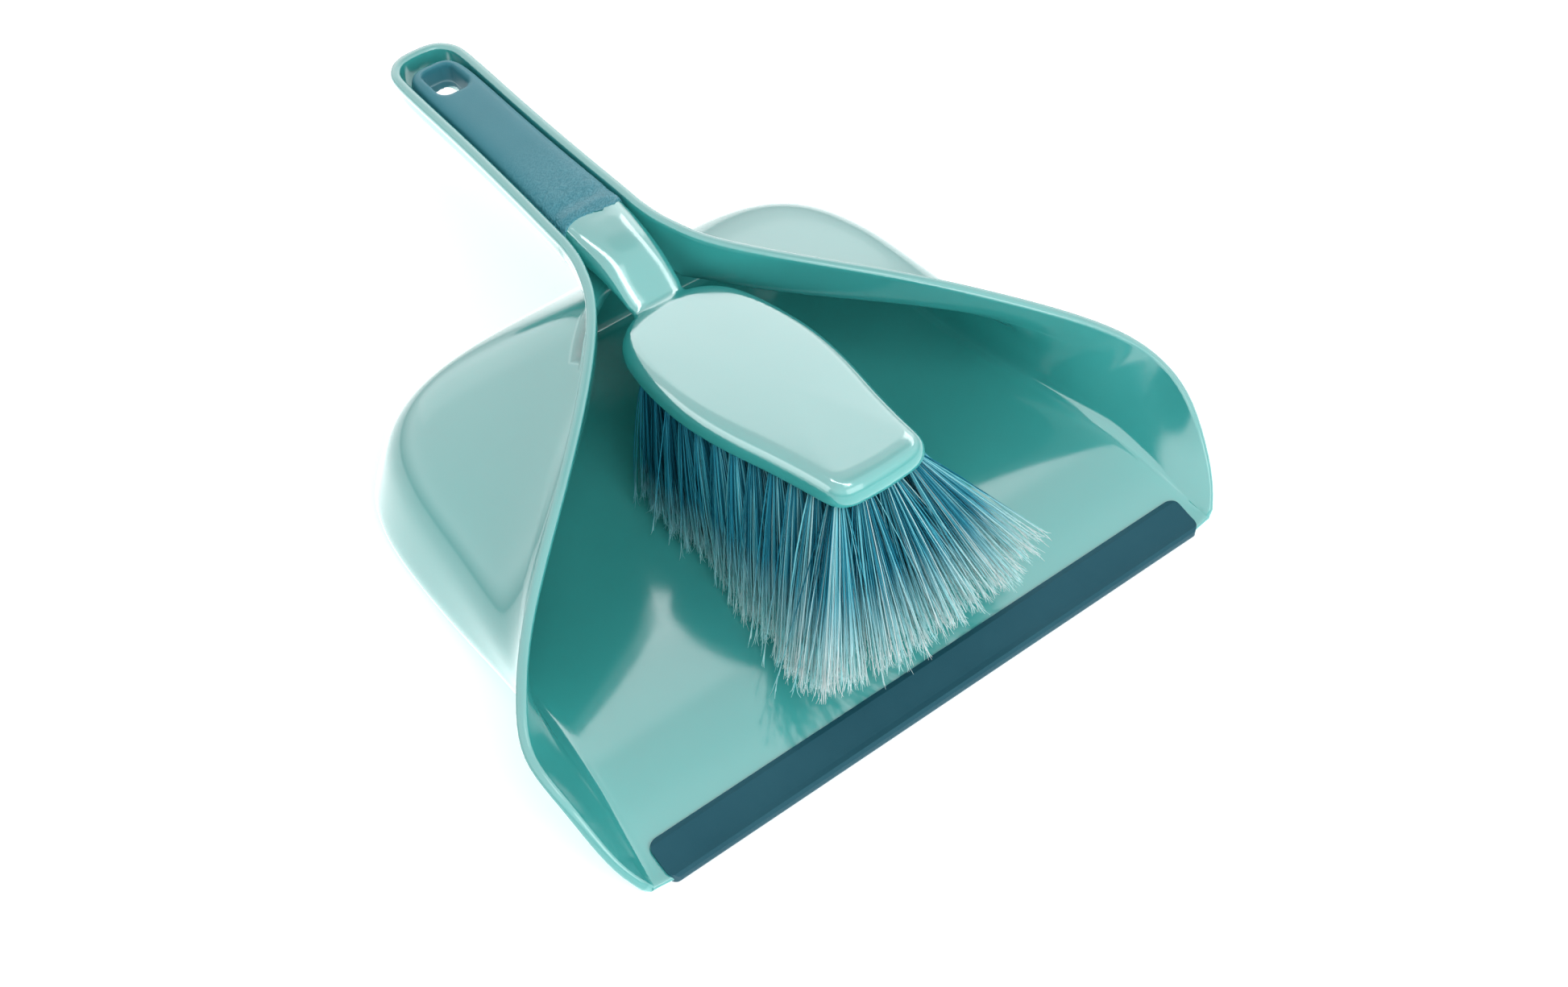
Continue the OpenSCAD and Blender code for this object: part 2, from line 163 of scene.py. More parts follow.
def tidy_normals(ob):
    bm = bmesh.new()
    bm.from_mesh(ob.data)
    bmesh.ops.recalc_face_normals(bm, faces=bm.faces)
    if bm.calc_volume(signed=True) < 0:
        bmesh.ops.reverse_faces(bm, faces=bm.faces)
    bm.to_mesh(ob.data)
    bm.free()


def voxel(ob, size_mm, smooth_steps):
    """Even remesh of a solid, eased a little as a moulding is."""
    m = ob.modifiers.new("voxel", "REMESH")
    m.mode, m.voxel_size, m.use_smooth_shade = "VOXEL", size_mm * MM, True
    apply_modifiers(ob)
    s = ob.modifiers.new("ease", "SMOOTH")
    s.factor, s.iterations = 0.5, smooth_steps
    apply_modifiers(ob)
    ob.data.shade_smooth()


def coat(ob, material):
    ob.data.materials.clear()
    ob.data.materials.append(material)


def rounded_rect(w, l, r):
    pts, n = [], 10
    for k, (cx, cy) in enumerate([(1, 1), (-1, 1), (-1, -1), (1, -1)]):
        for i in range(n + 1):
            q = math.radians(90 * k + 90 * i / n)
            pts.append((cx * (w / 2 - r) + r * math.cos(q), cy * (l / 2 - r) + r * math.sin(q)))
    return np.array(pts)


def hole_cutter(name, layers, back=0.0):
    """Rounded-rectangle cutter; layers are (z, growth), back moves it towards the handle's end."""
    rings = []
    for z, g in layers:
        o = rounded_rect(HOLE_W + 2 * g, HOLE_L + 2 * g, HOLE_R + g)
        rings.append(np.column_stack([o[:, 0], o[:, 1] + HOLE_Y + back, np.full(len(o), z)]))
    return lofted(name, rings)


# -------------------- node materials
class Nodes:
    """Small wrapper for building a node tree."""

    def __init__(self, name):
        self.mat = bpy.data.materials.new(name)
        self.mat.use_nodes = True
        self.t = self.mat.node_tree
        self.b = self.t.nodes["Principled BSDF"]

    def add(self, kind, **props):
        n = self.t.nodes.new(kind)
        for k, v in props.items():
            setattr(n, k, v)
        return n

    def link(self, a, b):
        self.t.links.new(a, b)

    def noise(self, scale, detail, rough=0.5):
        n = self.add("ShaderNodeTexNoise")
        n.inputs["Scale"].default_value = scale
        n.inputs["Detail"].default_value = detail
        n.inputs["Roughness"].default_value = rough
        self.link(self.add("ShaderNodeTexCoord").outputs["Object"], n.inputs["Vector"])
        return n.outputs["Fac"]

    def ramp(self, fac, stops):
        r = self.add("ShaderNodeValToRGB")
        e = r.color_ramp.elements
        while len(e) < len(stops):
            e.new(0.5)
        for k, (pos, col) in enumerate(stops):
            e[k].position = pos
            e[k].color = (*col, 1)
        self.link(fac, r.inputs["Fac"])
        return r.outputs["Color"]

    def math(self, op, a, number):
        n = self.add("ShaderNodeMath", operation=op)
        self.link(a, n.inputs[0])
        n.inputs[1].default_value = number
        return n.outputs[0]

    def blend(self, fac, a, b):
        n = self.add("ShaderNodeMix", data_type="RGBA")
        for sock, v in ((n.inputs["Factor"], fac), (n.inputs[6], a), (n.inputs[7], b)):
            if isinstance(v, tuple):
                sock.default_value = (*v, 1)
            else:
                self.link(v, sock)
        return n.outputs[2]

    def bump(self, height, strength, distance):
        n = self.add("ShaderNodeBump")
        n.inputs["Strength"].default_value = strength
        n.inputs["Distance"].default_value = distance
        self.link(height, n.inputs["Height"])
        return n.outputs["Normal"]

    def attribute(self, name):
        return self.add("ShaderNodeAttribute", attribute_name=name).outputs["Fac"]


def plastic_material():
    """Glossy mint polypropylene: faint cloudiness, faint moulding ripple, scuffs in the gloss."""
    m = Nodes("mint_plastic")
    cloud = m.noise(14, 4, 0.6)
    base = m.ramp(cloud, [(0.3, (0.062, 0.425, 0.408)), (0.7, (0.070, 0.448, 0.430))])
    m.link(base, m.b.inputs["Base Color"])
    scuff = m.noise(420, 2, 0.55)
    rough = m.ramp(scuff, [(0.35, (0.10,) * 3), (0.75, (0.15,) * 3)])
    m.link(rough, m.b.inputs["Roughness"])
    m.link(m.bump(m.noise(55, 2, 0.5), 0.05, 0.0006), m.b.inputs["Normal"])
    m.b.inputs["IOR"].default_value = 1.6
    m.b.inputs["Specular IOR Level"].default_value = 0.5
    return m.mat


def lip_material():
    """Matt petrol rubber with a fine grain."""
    m = Nodes("lip_rubber")
    cloud = m.noise(30, 4, 0.6)
    base = m.ramp(cloud, [(0.3, (0.012, 0.075, 0.105)), (0.7, (0.018, 0.092, 0.125))])
    m.link(base, m.b.inputs["Base Color"])
    fine = m.noise(1500, 3, 0.6)
    m.link(m.ramp(fine, [(0.3, (0.42,) * 3), (0.7, (0.54,) * 3)]), m.b.inputs["Roughness"])
    m.link(m.bump(fine, 0.18, 0.0002), m.b.inputs["Normal"])
    m.b.inputs["Specular IOR Level"].default_value = 0.12
    return m.mat


def grip_material():
    """Soft-touch elastomer; the engraving is in the mesh, its crests get a paler colour as a painted
    highlight.
    """
    m = Nodes("soft_grip")
    cloud = m.noise(24, 4, 0.6)
    base = m.ramp(cloud, [(0.3, (0.030, 0.190, 0.240)), (0.7, (0.040, 0.220, 0.275))])
    # painted highlight: the engraving's crests are blended towards a paler tone
    crest_highlight = m.attribute("crest_highlight")
    col = m.blend(crest_highlight, base, (0.10, 0.34, 0.42))
    m.link(col, m.b.inputs["Base Color"])
    fine = m.noise(2200, 3, 0.6)
    m.link(m.ramp(fine, [(0.3, (0.44,) * 3), (0.7, (0.56,) * 3)]), m.b.inputs["Roughness"])
    m.link(m.bump(fine, 0.22, 0.0002), m.b.inputs["Normal"])
    m.b.inputs["Specular IOR Level"].default_value = 0.24
    m.b.inputs["Sheen Weight"].default_value = 0.08
    m.b.inputs["Sheen Roughness"].default_value = 0.4
    return m.mat


def bristle_material():
    """Filaments: dark petrol, steel blue and aqua by strand, paling towards the flagged tips."""
    m = Nodes("bristle")
    tone = m.attribute("tone")
    along = m.attribute("along")
    body = m.ramp(tone, [(0.0, (0.003, 0.085, 0.135)), (0.28, (0.022, 0.270, 0.400)),
                         (0.58, (0.085, 0.520, 0.660)), (0.82, (0.30, 0.80, 0.88)),
                         (1.0, (0.72, 0.96, 0.98))])
    pale = m.ramp(tone, [(0.0, (0.32, 0.82, 0.86)), (0.5, (0.60, 0.96, 0.97)),
                         (1.0, (0.88, 0.99, 0.99))])
    tip = m.ramp(along, [(0.52, (0,) * 3), (0.90, (1,) * 3)])
    m.link(m.blend(tip, body, pale), m.b.inputs["Base Color"])
    m.b.inputs["Roughness"].default_value = 0.5
    m.b.inputs["Specular IOR Level"].default_value = 0.06
    return m.mat


def steel_material():
    """Drawn wire of the tuft anchors."""
    m = Nodes("staple_wire")
    base = m.ramp(m.noise(900, 3), [(0.3, (0.55, 0.55, 0.56)), (0.7, (0.66, 0.66, 0.68))])
    m.link(base, m.b.inputs["Base Color"])
    m.b.inputs["Metallic"].default_value = 1.0
    m.b.inputs["Roughness"].default_value = 0.35
    return m.mat


MINT, LIP, GRIP = plastic_material(), lip_material(), grip_material()
HAIR, STEEL = bristle_material(), steel_material()

# -------------------- the pan: one continuous moulded sheet
# Stations of the right half, from the mouth round to the middle of the back. BASE is where the wall
# meets the ground (x, y), SHOULDER its turn inwards, FOOT the crease under the flange, RIM_ST the
# flange's edge. LOW and TOP go on along the handle: the trough's bottom and its rim.
BASE = [[FRONT, 3.5], [123.6, 14], [121.6, 30], [120.2, 48], [119.2, 64], [118.8, 82], [118.4, 100],
        [118, 124], [117.2, 150], [115.8, 172], [111.2, 192], [99, BACK - 8.8], [76, BACK - 2.2],
        [42, BACK - 0.3], [0, BACK]]
SHOULDER = [[FRONT + 0.4, 3.6, 1.2], [125.7, 13.9, 6.4], [126.4, 30, 14.5], [127, 47.5, 20],
            [125.5, 64, 25], [121.8, 83, 32], [117.4, 102, 37.5], [112, 127, 39.3], [108, 151, SZ],
            [105, 170, SZ - 0.3], [100, 189, SZ - 0.8], [87, BACK - 14.5, SZ - 1],
            [63, BACK - 9, SZ - 0.5], [34, BACK - 8.3, SZ], [0, BACK - 8, SZ + 0.3]]
FOOT = [[FRONT + 0.9, 3.7, 2.4], [129.2, 13.6, 9.8], [133, 29.8, 22], [134.5, 47, 29.5],
        [130, 62.5, 36.5], [117.5, 81.5, 41.5], [98, 99.5, 46], [76, 119, 50.5], [51, 144.5, 53.5],
        [31, 168, 55], [19, 178.5, 56], [12.5, NY - 3, 56.5], [8, NY - 1.2, NZ - 0.3],
        [4, NY - 0.3, NZ - 0.1], [0, NY, NZ]]
RIM_ST = [[FRONT + 1.8, 4, 3.4], [133, 13.2, 14], [137.6, 29.7, 29.9], [138.3, 46.8, 37.6],
          [130.6, 61.7, 45], [115, 79.9, 52], [93.6, 98.5, 60.8], [72, 116.8, 68.2],
          [46.9, 141.1, 73.3], [28, 164, 75.6], [20.8, 178, 76.6], [18.2, 186, 77],
          [17.2, 191, 77.2], [16.7, 195, 77.3], [TR_HALF, 199, 77.4]]
LOW = [[0, NY, NZ], [0, NY + 4.5, TR_Z - 0.7], [0, NY + 12, TR_Z], [0, 214, TR_Z], [0, 235, TR_Z],
       [0, 260, TR_Z], [0, 282, TR_Z], [0, PAN_LEN - 18, TR_Z], [0, PAN_LEN - 9, TR_Z + 0.2],
       [0, PAN_LEN - 5.5, TR_Z + 1.2], [0, PAN_LEN - 3.5, TR_Z + 3]]
TOP = [[16.2, 206, RIM], [15.9, 214, RIM], [15.4, 228, RIM], [14.9, 247, RIM], [14.6, 267, RIM],
       [14.6, 287, RIM], [14.4, PAN_LEN - 13, RIM], [12.7, PAN_LEN - 5.6, RIM],
       [8, PAN_LEN - 1.2, RIM], [0, PAN_LEN, RIM]]
FINE = 5                # rows of points from one station to the next
INSET = 13.0            # how far in from the base the walls' profiles begin, on the floor
FLOOR_COLS = 5          # first points of a profile, which lie at the floor's height
WALL_COL = 11           # the point of a profile where the rounding of the base ends
FLANGE_STEPS = 18       # from the foot crease to the rim
HOOD_STATIONS = len(BASE) - 1


def bez(a, b, c, t):
    return mix(mix(a, b, t), mix(b, c, t), t)


def flange(f, r, e, up):
    """From foot f to rim r: a quarter of a superellipse of power e, or straight where up is 1."""
    w = 0.5 - 0.5 * np.cos(np.pi * np.arange(FLANGE_STEPS + 1) / FLANGE_STEPS)
    s = mix(np.sin(np.pi / 2 * w) ** e, w, up)
    z = mix(1 - np.cos(np.pi / 2 * w) ** e, w, up)
    s[-1] = z[-1] = 1
    return np.column_stack([mix(f[0], r[0], s), mix(f[1], r[1], s), mix(f[2], r[2], z)])


def ease(points, steps):
    """Smooths points in place along their first axis. The first and the last stay."""
    for _ in range(steps):
        points[1:-1] += 0.25 * (points[:-2] - 2 * points[1:-1] + points[2:])


def evened(profile):
    """The profile again in even steps, its bends softened."""
    run = np.concatenate([[0], np.cumsum(np.linalg.norm(np.diff(profile, axis=0), axis=1))])
    at = np.linspace(0, run[-1], len(run))
    q = np.column_stack([np.interp(at, run, profile[:, c]) for c in range(3)])
    ease(q, 260)
    return q


def profile_parts(a, b, c, f):
    """Floor, rounded base, wall, rounded shoulder and the slope up to the foot crease."""
    cb, fc = np.linalg.norm(c - b), np.linalg.norm(f - c)
    kb, kc = min(BASE_R, cb * 0.45), min(SHOULDER_R, cb * 0.5, fc * 0.45)
    b0, b1 = b + unit(a - b) * kb, b + unit(c - b) * kb
    c0, c1 = c + unit(b - c) * kc, c + unit(f - c) * kc
    part = [mix(a, b0, s) for s in np.arange(0, 3) / 3]
    part += [bez(b0, b, b1, s) for s in np.arange(0, 9) / 8]
    part += [mix(b1, c0, s) for s in np.arange(1, 5) / 5]
    part += [bez(c0, c, c1, s) for s in np.arange(0, 13) / 12]
    return part + [mix(c1, f, s) for s in np.arange(1, 10) / 10]


def pan_rows():
    """Outer-skin points of the right half: profiles round the hood, then along the handle trough."""
    t = np.arange(HOOD_STATIONS * FINE + 1) / FINE
    base = spline(mirrored(BASE), t)
    u = unit(spline(mirrored(BASE), t + 0.05) - spline(mirrored(BASE), np.maximum(t - 0.05, 0)))
    shoulder = spline(mirrored(SHOULDER), t)
    foot = spline(mirrored(FOOT), t)
    rim = spline(mirrored(RIM_ST + TOP), np.arange((HOOD_STATIONS + len(TOP)) * FINE + 1) / FINE)
    low = spline(LOW, np.arange(len(TOP) * FINE + 1) / FINE)
    hood = []
    for k, tk in enumerate(t):
        b = np.array([base[k][0], base[k][1], floor_low(base[k][1])])
        a = b - np.array([u[k][1], -u[k][0], 0]) * INSET
        if k == len(t) - 1:
            a, b = np.array([0, BACK - INSET, 0.0]), np.array([0, BACK, 0.0])
        a[2] = floor_low(a[1])
        power = min(max(0.62 + (tk - 10) * 0.02, 0.62), 0.68)
        straight = min(max((6.5 - tk) / 3, 0), 1)
        hood.append(np.vstack([profile_parts(a, b, shoulder[k], foot[k]),
                               flange(foot[k], rim[k], power, straight)]))
    hood = np.array(hood)
    # ease the skin along each profile, keeping the foot crease and the ends, then from row to row
    foot_col = hood.shape[1] - 1 - FLANGE_STEPS
    ease(hood[:, :foot_col + 1].swapaxes(0, 1), 6)
    ease(hood[:, foot_col:].swapaxes(0, 1), 6)
    ease(hood[:, FLOOR_COLS:foot_col + 1], 16)
    # towards the front the wall and the flange melt into one soft hollow
    for k, tk in enumerate(t):
        w = min(max((9 - tk) / 5, 0), 1)
        hood[k, WALL_COL:] = mix(hood[k, WALL_COL:], evened(hood[k, WALL_COL:]), w * w * (3 - 2 * w))
    hood[:, :FLOOR_COLS, 2] = floor_low(hood[:, :FLOOR_COLS, 1])
    hood[-1, :foot_col + 1, 0] = 0
    trough = np.array([flange(low[k], rim[HOOD_STATIONS * FINE + k], 0.68, 0)
                       for k in range(1, len(TOP) * FINE + 1)])
    trough[-1, :, 0] = 0
    return hood, trough, foot_col


def floor_rows(hood):
    """The profiles with the floor in front of them, out from the pan's middle line."""
    floor_steps, corner = 18, 9 * FINE
    corner_y = hood[corner, 0, 1]
    rows = []
    for k in range(len(hood)):
        a = hood[k, 0]
        back = max(k - corner, 0) / (len(hood) - 1 - corner)
        y = mix(corner_y, BACK - INSET, back ** 0.8) if k > corner else a[1]
        centre = np.array([0, y, 0.0])
        line = np.array([mix(centre, a, s / floor_steps) for s in range(floor_steps)])
        line[:, 2] = floor_low(line[:, 1])
        rows.append(np.vstack([line, hood[k]]))
    return np.array(rows)


def build_pan():
    hood, trough, foot_col = pan_rows()
    verts, faces, beads = [], [], []

    def add_grid(g, flip):
        base = len(verts)
        verts.extend(map(tuple, g.reshape(-1, 3)))
        n, m = g.shape[:2]
        reach = np.linalg.norm(g - g[:, -1:], axis=2)
        beads.extend((RIM_BEAD * np.exp(-(reach / BEAD_REACH) ** 4)).reshape(-1) * MM)
        for i in range(n - 1):
            for j in range(m - 1):
                at = base + i * m + j
                q = [at, at + 1, at + m + 1, at + m]
                faces.append(q[::-1] if flip else q)

    rows = floor_rows(hood)
    middle = np.concatenate([hood[-1:, foot_col:], trough])
    for side in (1, -1):
        s = np.array([side, 1, 1])
        add_grid(rows * s, side < 0)
        add_grid(middle * s, side < 0)
    bm = bmesh.new()
    layer = bm.verts.layers.float.new("bead")
    vs = [bm.verts.new(p) for p in put(verts)]
    for v, b in zip(vs, beads):
        v[layer] = b
    for f in faces:
        bm.faces.new([vs[i] for i in f])
    bmesh.ops.remove_doubles(bm, verts=bm.verts, dist=2e-6)
    bmesh.ops.dissolve_degenerate(bm, edges=bm.edges, dist=1e-6)
    bm.normal_update()
    # the skin is the outer face, so the low floor has to look down
    low_floor = [f for f in bm.faces if f.calc_center_median().z < 0.004]
    if sum(f.normal.z * f.calc_area() for f in low_floor) > 0:
        bmesh.ops.reverse_faces(bm, faces=bm.faces)
        bm.normal_update()
    return thicken(bm, WALL * MM)


def thicken(bm, wall):
    """Closes an open skin, the outer face, into a wall with half-round edges."""
    bm.verts.ensure_lookup_table()
    n = len(bm.verts)
    co = np.array([v.co for v in bm.verts])
    nor = np.array([v.normal for v in bm.verts])
    layer = bm.verts.layers.float["bead"]
    bead = np.array([v[layer] for v in bm.verts])
    faces = [[v.index for v in f.verts] for f in bm.faces]
    edges = []
    for e in bm.edges:
        if e.is_boundary:
            loop = e.link_loops[0]
            edges.append((loop.vert.index, loop.link_loop_next.vert.index))
    bm.free()
    nxt = {a: b for a, b in edges}
    prv = {b: a for a, b in edges}
    inner = co - nor * wall
    outer = co + nor * bead[:, None]
    steps = 6
    start = {}
    extra = []
    for v in sorted(nxt):
        e = unit(co[nxt[v]] - co[prv[v]])
        d = unit(np.cross(e, nor[v]))
        mid = (outer[v] + inner[v]) / 2
        half = (wall + bead[v]) / 2
        start[v] = 2 * n + len(extra)
        for k in range(1, steps):
            q = math.pi * k / steps
            bulge = min(0.9, 1.0 * MM / half)
            extra.append(mid + half * (nor[v] * math.cos(q) + d * bulge * math.sin(q)))
    out = [tuple(f) for f in faces] + [tuple(n + i for i in reversed(f)) for f in faces]

    def at(v, k):
        return v if k == 0 else n + v if k == steps else start[v] + k - 1

    for a, b in edges:
        out += [(at(b, k), at(a, k), at(a, k + 1), at(b, k + 1)) for k in range(steps)]
    ob = new_object("pan", np.vstack([outer, inner, np.array(extra)]), out)
    tidy_normals(ob)
    return ob


pan = build_pan()
boolean(pan, hole_cutter("cut", [(TR_Z - 6, 3.2), (TR_Z + 8, 3.2)], 5), "DIFFERENCE")
pan.data.shade_smooth()
coat(pan, MINT)
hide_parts("pan_shell")
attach(pan, "pan")

# -------------------- lip and anchors keep their CAD solids
coat(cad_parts["lip_strip"], LIP)
coat(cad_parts["tuft_anchors"], STEEL)

# -------------------- brush body: block, neck and core in one moulding
# The block's outline (half width, distance from the front). The neck's sections (y, height of the
# middle, tilt, half width, up, down). The handle's sections (y, half width, inset above and below).
BLOCK = [[0, -1], [9, -0.6], [15, 0.6], [18.8, 3.6], [20.6, 9], [22.2, 20], [25, 36], [28, 51],
         [30, 66], [30.4, 80], [29.2, 95], [26.8, 108], [22.6, 117.5], [15.4, 124], [7.5, 126.8],
         [0, BLOCK_L]]
NECK = [[147, 56.5, -34, 10.2, 5, 4], [153.5, 58.6, -36, 10.7, 6.4, 5],
        [160.5, 62, -36, 11.1, 7.4, 6], [168.5, 66.6, -32, 11.7, 7.6, 6.6],
        [177, 69.8, -18, 12.4, 7.6, 7], [187, 71.2, -5, 13, 7.9, 7.6],
        [GRIP_Y0, MID_Z, 0, GRIP_HALF, GRIP_TOP - MID_Z, MID_Z - GRIP_LOW]]
HANDLE = [[GRIP_Y0, GRIP_HALF, 0], [215, GRIP_HALF - 0.4, 0], [235, GRIP_HALF - 1.1, 0],
          [260, GRIP_HALF - 1.6, 0.1], [284, GRIP_HALF - 1.7, 0.2], [297, GRIP_HALF - 2, 0.4],
          [304.5, 10.3, 1.1], [308.4, 7.5, 2.5], [GRIP_Y1, 3.8, 4.2]]
CORE_END = HOLE_Y - HOLE_L / 2 - 3      # the core inside the grip stops before the hang hole
TOP_SQUARE, NECK_SQUARE, LOW_SQUARE = 0.46, 0.98, 0.95    # power of the sections: 1 round, 0 square


def from_block(p):
    """Block coordinates (across, along, up) to design millimetres."""
    p = np.array(p, float).reshape(-1, 3)
    c, s = math.cos(math.radians(PITCH)), math.sin(math.radians(PITCH))
    return np.column_stack([p[:, 0], BLOCK_Y + p[:, 1] * c + p[:, 2] * s,
                            BLOCK_Z - p[:, 1] * s + p[:, 2] * c])


def block_half(s):
    """Half width of the block at the distance s from its front."""
    return np.interp(s, [p[1] for p in BLOCK], [p[0] for p in BLOCK])


def block_outline():
    p = spline(BLOCK, np.linspace(0, len(BLOCK) - 1, 150))
    p[0, 0] = p[-1, 0] = 0
    return np.vstack([p, p[-2:0:-1] * [-1, 1]])


def block_object():
    """Layers of the outline: rounded bottom edge, rounded top edge, and a top that rises a little."""
    o = block_outline()
    nrm = unit(np.roll(o, -1, 0) - np.roll(o, 1, 0))
    nrm = np.column_stack([-nrm[:, 1], nrm[:, 0]])
    centre = np.array([0, 62.0])
    crown, most = 0.9, 3.2          # rise of the top, and the largest inset along the normal
    layers = []
    for i in range(9):
        q = math.pi / 2 * i / 8
        layers.append((-BLOCK_T + 3.8 * (1 - math.cos(q)), 2.3 * (1 - math.sin(q))))
    for i in range(17):
        q = math.pi / 2 * i / 16
        layers.append((-crown - BLOCK_R * 1.1 * (1 - math.sin(q)), BLOCK_R * (1 - math.cos(q))))
    rings = []
    for z, inset in layers:
        q = o + nrm * min(inset, most)
        q = centre + (q - centre) * (1 - max(inset - most, 0) / 30)
        rings.append(from_block(np.column_stack([q, np.full(len(q), z)])))
    for f in (0.85, 0.68, 0.5, 0.32, 0.15, 0.03):
        z = np.full(len(q), -crown + crown * (1 - f * f))
        rings.append(from_block(np.column_stack([centre + (q - centre) * f, z])))
    return lofted("block", rings)


def section(y, z, tilt, a, up, dn, square=TOP_SQUARE):
    """A ring of points across the handle: half width a, height up and dn, square above as given."""
    q = np.arange(96) * 2 * np.pi / 96
    power = np.where(np.sin(q) > 0, square, LOW_SQUARE)
    u = np.sign(np.cos(q)) * np.abs(np.cos(q)) ** power * a
    v = np.sign(np.sin(q)) * np.abs(np.sin(q)) ** power * np.where(np.sin(q) > 0, up, dn)
    r = math.radians(tilt)
    return np.column_stack([u, y - v * math.sin(r), z + v * math.cos(r)])


def neck_object():
    """The saddle from the block to the grip. Its end narrows to slip under the grip's front edge."""
    steps = 8 * (len(NECK) - 1)
    rings = [section(*s, square=mix(NECK_SQUARE, TOP_SQUARE, (k / steps) ** 4))
             for k, s in enumerate(spline(NECK, np.arange(steps + 1) / 8))]
    end = rings[-1]
    for d in (2, 4, 5.5):
        r = end.copy()
        r[:, 1] += d
        rings.append(r)
    for r in rings[-8:]:
        mid = np.array([0, MID_Z])
        narrower = 1 - 0.028 * np.clip((r[:, 1:2] - 194) / 5, 0, 1)
        r[:, [0, 2]] = mid + (r[:, [0, 2]] - mid) * narrower
    return lofted("neck", rings)


def handle_rings(inset, y0, y1, n, shape=None):
    """The handle's sections, stretched between y0 and y1 and made smaller by the inset."""
    rings = []
    for y, half, low in spline(HANDLE, np.linspace(0, len(HANDLE) - 1, n)):
        y = mix(y0, y1, (y - GRIP_Y0) / (GRIP_Y1 - GRIP_Y0))
        r = section(y, MID_Z, 0, max(half - inset, 1), max(GRIP_TOP - MID_Z - low - inset, 0.8),
                    max(MID_Z - GRIP_LOW - low - inset, 0.8))
        rings.append(shape(r, y) if shape else r)
    return rings


def curved_front(r, y):
    """The grip's front edge is a slight S; behind it come a thumb roll and a shallow dip."""
    r = r.copy()
    u = np.clip(r[:, 0] / GRIP_HALF, -1, 1)
    fade = max(0.0, 1 - (y - GRIP_Y0) / 26)
    upper = np.clip((r[:, 2] - MID_Z) / (GRIP_TOP - MID_Z), 0, 1)
    r[:, 1] -= (1.6 * np.sin(np.pi * u) - 3.2 * np.clip(u, 0, 1) ** 3) * fade * upper
    d = r[:, 1] - GRIP_Y0
    roll = 0.5 * np.exp(-((d - 4.4) / 2.2) ** 2)
    dip = 0.5 * np.exp(-((d - 9) / 3.0) ** 2)
    r[:, 2] += upper * (roll - dip)
    return r


body = block_object()
boolean(body, neck_object(), "UNION")
boolean(body, lofted("core", handle_rings(GRIP_T - 0.3, GRIP_Y0 - 6, CORE_END, 40)), "UNION")
voxel(body, 0.6, 6)


def tree(ob):
    me = ob.data
    return BVHTree.FromPolygons([v.co[:] for v in me.vertices], [p.vertices[:] for p in me.polygons])


def ease_junction(ob):
    """A small fillet where the neck leaves the block: smoothing, strongest near both surfaces."""
    block, neck = block_object(), neck_object()
    near_block, near_neck = tree(block), tree(neck)
    g = ob.vertex_groups.new(name="joint")
    reach = 3.6 * MM
    for v in ob.data.vertices:
        if v.co.y > 0.03 or v.co.y < -0.045:
            continue
        a = near_block.find_nearest(v.co, reach)[3]
        b = near_neck.find_nearest(v.co, reach)[3]
        if a is None or b is None:
            continue
        g.add([v.index], (1 - max(a, b) / reach) ** 0.5, "REPLACE")
    discard(block)
    discard(neck)
    s = ob.modifiers.new("fillet", "SMOOTH")
    s.factor, s.iterations, s.vertex_group = 0.5, 60, "joint"
    apply_modifiers(ob)
    ob.data.shade_smooth()


ease_junction(body)


def tufts():
    """(row, base point in block coordinates, side angle, fore angle, length) of every tuft."""
    out = []
    for i in range(ROWS):
        n = 4 if i % 2 == 0 else 5
        s = ROW_S0 + i * ROW_PITCH
        spread = block_half(s) - 5.2
        back = i / (ROWS - 1)
        for j in range(n):
            x = -spread + 2 * spread * j / (n - 1)
            side = mix(FAN_SIDE, 2, min(i / 7, 1)) * x / max(spread, 1)
            out.append((i, x, s, side, mix(FAN_FRONT, -2, back), mix(TUFT_LONG, TUFT_SHORT, back)))
    return out


def drill(ob):
    """The round tuft holes in the underside of the block."""
    verts, faces = [], []
    m = 20
    for _, x, s, _, _, _ in tufts():
        base = len(verts)
        for z in (-BLOCK_T - 1.5, -BLOCK_T + 8):
            for k in range(m):
                q = 2 * math.pi * k / m
                verts.append((x + TUFT_R * math.cos(q), s + TUFT_R * math.sin(q), z))
        faces += [(base + k, base + (k + 1) % m, base + m + (k + 1) % m, base + m + k)
                  for k in range(m)]
        faces.append(tuple(base + k for k in range(m - 1, -1, -1)))
        faces.append(tuple(base + m + k for k in range(m)))
    cut = new_object("drill", put(from_block(verts)), faces)
    tidy_normals(cut)
    boolean(ob, cut, "DIFFERENCE")
    ob.data.shade_smooth()
    ob.data.set_sharp_from_angle(angle=math.radians(50))


drill(body)
body.name = "brush_body_visual"
coat(body, MINT)
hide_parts("brush_body")
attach(body, "brush")

# -------------------- soft grip with engraved field
grip = lofted("grip", handle_rings(0, GRIP_Y0, GRIP_Y1, 90, curved_front))
boolean(grip, lofted("void", handle_rings(GRIP_T, GRIP_Y0 - 8, CORE_END, 40)), "DIFFERENCE")
# the hang hole: wider below, straight in the middle, rolled edge on top
rolled = [(76.0 + 3.4 * math.sin(q), 2.6 * (1 - math.cos(q)))
          for q in np.radians([15, 30, 45, 60, 75, 88])]
hole_layers = [(56, 1.8), (68.6, 1.6), (69.8, 0.4), (70.6, 0), (76.0, 0), *rolled, (82, 2.8)]
boolean(grip, hole_cutter("hang", hole_layers), "DIFFERENCE")
voxel(grip, 0.42, 5)


